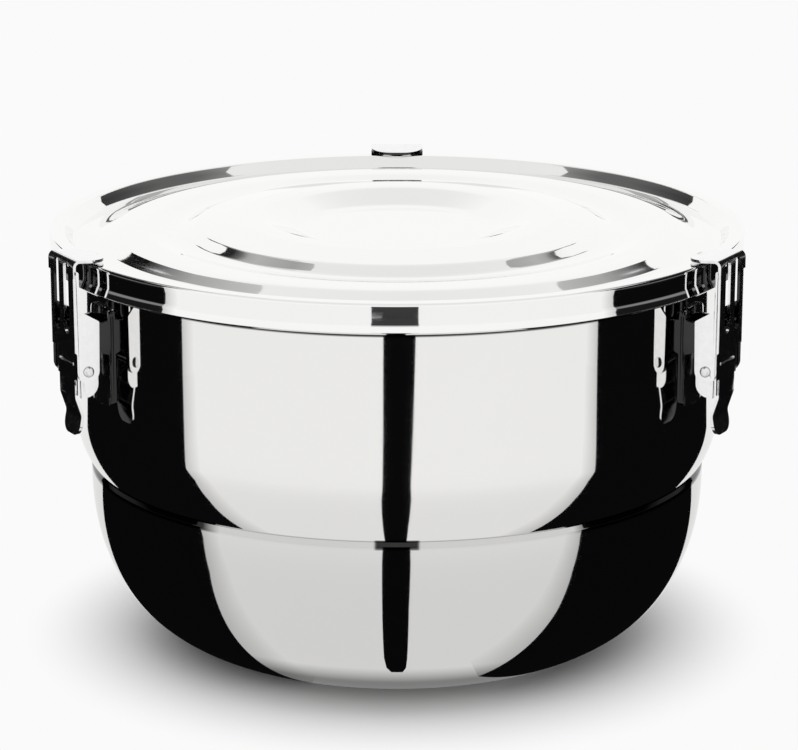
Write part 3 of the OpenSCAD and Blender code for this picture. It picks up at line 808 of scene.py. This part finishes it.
class CONTAINER_OT_body(Operator):
    """Turn the two-tier body with its rolled rim"""

    bl_idname = "container.body"
    bl_label = "Body shell"

    def execute(self, context):
        sizes = context.scene.container_shell
        look = context.scene.container_steel
        piece = lathe_piece("polished_body", body_outline(sizes))
        steel = mirror_steel("mirror_steel_body", look, look.body_colour, look.body_lines, sizes)
        finish_piece(piece, steel, CONTAINER, "body_steel", "body_shell")
        return {"FINISHED"}


class CONTAINER_OT_lid(Operator):
    """Turn the pressed lid with its rings and skirt"""

    bl_idname = "container.lid"
    bl_label = "Lid"

    def execute(self, context):
        look = context.scene.container_steel
        piece = lathe_piece("polished_lid", lid_outline(context.scene.container_lid))
        # The lid's colour holds a painted brightness for its brighter reflected surroundings
        steel = mirror_steel("mirror_steel_lid", look, look.lid_steel_and_sheen, look.lid_lines)
        finish_piece(piece, steel, CONTAINER, "lid_steel", "lid_shell")
        return {"FINISHED"}


class CONTAINER_OT_seal(Operator):
    """Give the sealing ring its silicone"""

    bl_idname = "container.seal"
    bl_label = "Sealing ring"

    def execute(self, context):
        look = context.scene.container_steel
        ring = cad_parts["sealing_ring"]
        ring.data.materials.clear()
        ring.data.materials.append(silicone("milky_silicone", look.seal_colour))
        return {"FINISHED"}


class CONTAINER_OT_latches(Operator):
    """Round the edges of the three toggle latches and give them their steel"""

    bl_idname = "container.latches"
    bl_label = "Toggle latches"

    def execute(self, context):
        look = context.scene.container_steel
        sheet = pressed_steel("latch_steel", look.latch_colour, look.latch_rough, look.inside_tone)
        pins = pressed_steel("pin_steel", look.pin_colour, look.pin_rough, look.inside_tone)
        for side, angle in SIDES.items():
            lever_body, hook_body = f"{side}_lever", f"{side}_hook"
            # The bracket's flanks get the painted shade too, where it stands in shade between the straps
            for node, material, slot, body, flanks in (
                (f"{side}_bracket", sheet, "latch_steel", CONTAINER, True),
                (f"{side}_lever", sheet, "latch_steel", lever_body, False),
                (f"{side}_hook", sheet, "latch_steel", hook_body, False),
                (f"{side}_lever_pin", pins, "pin_steel", CONTAINER, False),
                (f"{side}_hook_rivet", pins, "pin_steel", lever_body, False),
            ):
                piece = eased_copy(node, f"{node}_eased", look, math.radians(angle), flanks)
                finish_piece(piece, material, body, slot, node)
        return {"FINISHED"}


def stage_mesh(name, verts, faces, material, glossy_only=True):
    """Stage surface, hidden from all but reflections where glossy_only is set."""
    mesh = bpy.data.meshes.new(name)
    mesh.from_pydata(verts, [], faces)
    mesh.materials.append(material)
    card = bpy.data.objects.new(name, mesh)
    bpy.context.scene.collection.objects.link(card)
    if glossy_only:
        card.visible_camera = False
        card.visible_diffuse = False
        card.visible_shadow = False
        card.visible_transmission = False
    return card


def flat_card(name, corners, material):
    """One flat card through its corners, which only reflections see."""
    return stage_mesh(name, corners, [tuple(range(len(corners)))], material)


def fringe_card(name, inner, outer, material):
    """Band between two rows of points whose shade falls from 1 at the inner row to nothing."""
    count = len(inner)
    faces = [(i, i + 1, count + i + 1, count + i) for i in range(count - 1)]
    card = stage_mesh(name, [*inner, *outer], faces, material)
    mark = card.data.attributes.new("shade", "FLOAT", "POINT")
    mark.data.foreach_set("value", [1.0] * count + [0.0] * count)
    return card


def blended(tree, share, first, second):
    """Shader that goes from the first to the second with the share."""
    mix = add_node(tree, "ShaderNodeMixShader")
    feed(tree, share, mix.inputs["Fac"])
    feed(tree, first, mix.inputs[1])
    feed(tree, second, mix.inputs[2])
    return mix.outputs[0]


def glow(tree, colour):
    """Plain glow of a colour, or of a colour socket."""
    node = add_node(tree, "ShaderNodeEmission", Strength=1.0)
    feed(tree, colour, node.inputs["Color"])
    return node.outputs[0]


def fringe_material():
    """Clear sheet that darkens with the attribute shade, for the soft edges of the dark cards."""
    material, tree, out = bare_material("soft_fringe")
    mark = add_node(tree, "ShaderNodeAttribute", attribute_name="shade")
    share = calculated(tree, "MULTIPLY", mark.outputs["Fac"], FRINGE_SHADE)
    clear = add_node(tree, "ShaderNodeBsdfTransparent")
    feed(tree, blended(tree, share, clear.outputs[0], glow(tree, (0, 0, 0, 1))), out.inputs["Surface"])
    return material


def fading_material(name, stops):
    """Glow whose grey follows (height, tone) stops from the floor up."""
    material, tree, out = bare_material(name)
    place = add_node(tree, "ShaderNodeTexCoord").outputs["Object"]
    feed(tree, glow(tree, axis_ramp(tree, place, "Z", stops)), out.inputs["Surface"])
    return material


def card_material(name, colour):
    """Plain glow of one dark colour."""
    material, tree, out = bare_material(name)
    feed(tree, glow(tree, (*colour, 1)), out.inputs["Surface"])
    return material


class CONTAINER_OT_studio(Operator):
    """Set up the floor, the dark cards, the lamp, the white surroundings and the camera"""

    bl_idname = "container.studio"
    bl_label = "Studio"

    def execute(self, context):
        setup = context.scene.container_studio
        self.add_floor(setup)
        self.add_cards(setup)
        self.add_light(context, setup)
        self.add_camera(context, setup)
        return {"FINISHED"}

    def add_floor(self, setup):
        """Matt floor with a real shadow close in, white further out, and a glow with a painted shadow in
        reflections.
        """
        material, tree, out = bare_material("pale_floor")
        matt = add_node(tree, "ShaderNodeBsdfDiffuse", Roughness=0.5)
        matt.inputs["Color"].default_value = (*setup.floor_colour, 1)
        place = add_node(tree, "ShaderNodeTexCoord")
        distance = length_of(tree, place.outputs["Object"])
        # The blend from the lit matt grey into the white glow paints part of the shadow's soft edge
        fade = carried(tree, distance, (setup.shade_near, setup.shade_far), (0.0, 1.0),
            interpolation_type="SMOOTHSTEP")
        path = add_node(tree, "ShaderNodeLightPath")
        share = calculated(tree, "MULTIPLY", fade, path.outputs["Is Camera Ray"])
        near = blended(tree, share, matt.outputs[0], glow(tree, (*setup.backdrop_colour, 1)))
        # Painted shadow in reflections: the mirrored floor's glow is dark round the foot and greyer near
        # the object
        top = MIRRORED_FLOOR_SHADOW_STOPS[-1][0]
        ramp = tone_ramp(tree, [(radius / top, tone) for radius, tone in MIRRORED_FLOOR_SHADOW_STOPS])
        feed(tree, carried(tree, distance, (0.0, top), (0.0, 1.0)), ramp.inputs["Fac"])
        mirrored = glow(tree, ramp.outputs["Color"])
        feed(tree, blended(tree, path.outputs["Is Glossy Ray"], near, mirrored), out.inputs["Surface"])
        corners = [(x * FLOOR_HALF, y * FLOOR_HALF, 0) for x, y in ((-1, -1), (1, -1), (1, 1), (-1, 1))]
        stage_mesh("floor", corners, [(0, 1, 2, 3)], material, glossy_only=False)

    def add_cards(self, setup):
        """Dark cards on both sides and a narrow one in front, for the reflections alone."""
        black = card_material("black_card", setup.card_colour)
        side_card = fading_material("side_card", SIDE_STOPS)
        back_card = fading_material("back_side_card", BACK_STOPS)
        near_card = fading_material("near_side_card", NEAR_STOPS)
        fringe = fringe_material()
        for name, side, edge in (("left", -1, LEFT_EDGE), ("right", 1, RIGHT_EDGE)):
            corners = [(side * x, y, CARD_LIFT) for x, y in (*edge, *CARD_BACK)]
            flat_card(f"{name}_floor_card", corners, black)
            outer = [(side * x, y - FRINGE_WIDTH - FRINGE_GROWTH * x, CARD_LIFT) for x, y in edge]
            fringe_card(f"{name}_floor_fringe", corners[:len(edge)], outer, fringe)
            front = edge[-1][1]
            for part, plan, material in (
                ("side", ((front, 0.0), *SIDE_OUTLINE, (front, SIDE_STEP)), side_card),
                ("back_side", BACK_OUTLINES[name], back_card),
                ("near_side", NEAR_OUTLINES[name], near_card),
            ):
                flat_card(f"{name}_{part}_card", [(side * CARD_X, y, z) for y, z in plan], material)
            inner, outer = ([(side * CARD_X, y, z) for z in (0.0, SIDE_STEP)]
                for y in (front, front - SIDE_FRINGE))
            fringe_card(f"{name}_side_fringe", inner, outer, fringe)
        strip = [(x, y, CARD_LIFT) for x, y in (*STRIP_RIGHT, *reversed(STRIP_LEFT))]
        flat_card("front_strip_card", strip, black)
        low, high = FRONT_SPAN
        y, top = STRIP_LEFT[-1][1], FRONT_STOPS[-1][0]
        flat_card("front_upright_card", [(low, y, 0), (high, y, 0), (high, y, top), (low, y, top)],
            fading_material("front_card", FRONT_STOPS))

    def add_light(self, context, setup):
        """White surroundings, greyer overhead where they are seen, and a lamp above the object."""
        world = bpy.data.worlds.new("white_surroundings")
        context.scene.world = world
        world.use_nodes = True
        tree = world.node_tree
        tree.nodes.clear()
        place = add_node(tree, "ShaderNodeTexCoord")
        parts = add_node(tree, "ShaderNodeSeparateXYZ")
        feed(tree, place.outputs["Generated"], parts.inputs[0])
        ramp = tone_ramp(tree, SKY_STOPS)
        feed(tree, parts.outputs["Z"], ramp.inputs["Fac"])
        seen = add_node(tree, "ShaderNodeBackground", Strength=1.0)
        feed(tree, ramp.outputs["Color"], seen.inputs["Color"])
        lit = add_node(tree, "ShaderNodeBackground", Strength=setup.sky_strength)
        lit.inputs["Color"].default_value = (1, 1, 1, 1)
        rays = add_node(tree, "ShaderNodeLightPath").outputs
        share = calculated(tree, "MAXIMUM", rays["Is Camera Ray"], rays["Is Glossy Ray"])
        share = calculated(tree, "MAXIMUM", share, rays["Is Transmission Ray"])
        out = add_node(tree, "ShaderNodeOutputWorld")
        feed(tree, blended(tree, share, lit.outputs[0], seen.outputs[0]), out.inputs["Surface"])
        lamp_data = bpy.data.lights.new("overhead_lamp", "AREA")
        lamp_data.shape = "RECTANGLE"
        lamp_data.size, lamp_data.size_y = LAMP_SIZE
        lamp_data.energy = setup.lamp_power
        lamp = bpy.data.objects.new("overhead_lamp", lamp_data)
        lamp.location = LAMP_PLACE
        lamp.visible_glossy = False
        context.scene.collection.objects.link(lamp)

    def add_camera(self, context, setup):
        """Camera in front of the object, a little above it, as in the photograph."""
        data = bpy.data.cameras.new("photo_view")
        data.lens = setup.camera_lens
        data.sensor_width = 36.0
        data.shift_x = setup.camera_shift
        camera = bpy.data.objects.new("photo_view", data)
        camera.location = (0, -setup.camera_distance, setup.camera_height)
        camera.rotation_euler = (math.pi / 2 - setup.camera_pitch, 0, 0)
        context.scene.collection.objects.link(camera)
        context.scene.camera = camera
        context.scene.view_settings.view_transform = "Standard"


class CONTAINER_PT_panel(Panel):
    """Lists the steps that build the container"""

    bl_label = "Steel food container"
    bl_idname = "CONTAINER_PT_panel"
    bl_space_type = "VIEW_3D"
    bl_region_type = "UI"
    bl_category = "Container"

    def draw(self, context):
        for step in STEPS:
            self.layout.operator(step.bl_idname)


STEPS = (CONTAINER_OT_studio, CONTAINER_OT_body, CONTAINER_OT_lid, CONTAINER_OT_seal, CONTAINER_OT_latches)
GROUPS = {
    "container_shell": ShellSizes,
    "container_lid": LidSizes,
    "container_steel": SteelLook,
    "container_studio": StudioSetup,
}
CLASSES = (*GROUPS.values(), *STEPS, CONTAINER_PT_panel)


def register():
    for cls in CLASSES:
        bpy.utils.register_class(cls)
    for name, cls in GROUPS.items():
        setattr(bpy.types.Scene, name, PointerProperty(type=cls))


def unregister():
    for name in GROUPS:
        delattr(bpy.types.Scene, name)
    for cls in reversed(CLASSES):
        bpy.utils.unregister_class(cls)


def main():
    """Builds the container and its studio."""
    register()
    bpy.ops.container.studio()
    bpy.ops.container.body()
    bpy.ops.container.lid()
    bpy.ops.container.seal()
    bpy.ops.container.latches()


if __name__ == "__main__":
    main()
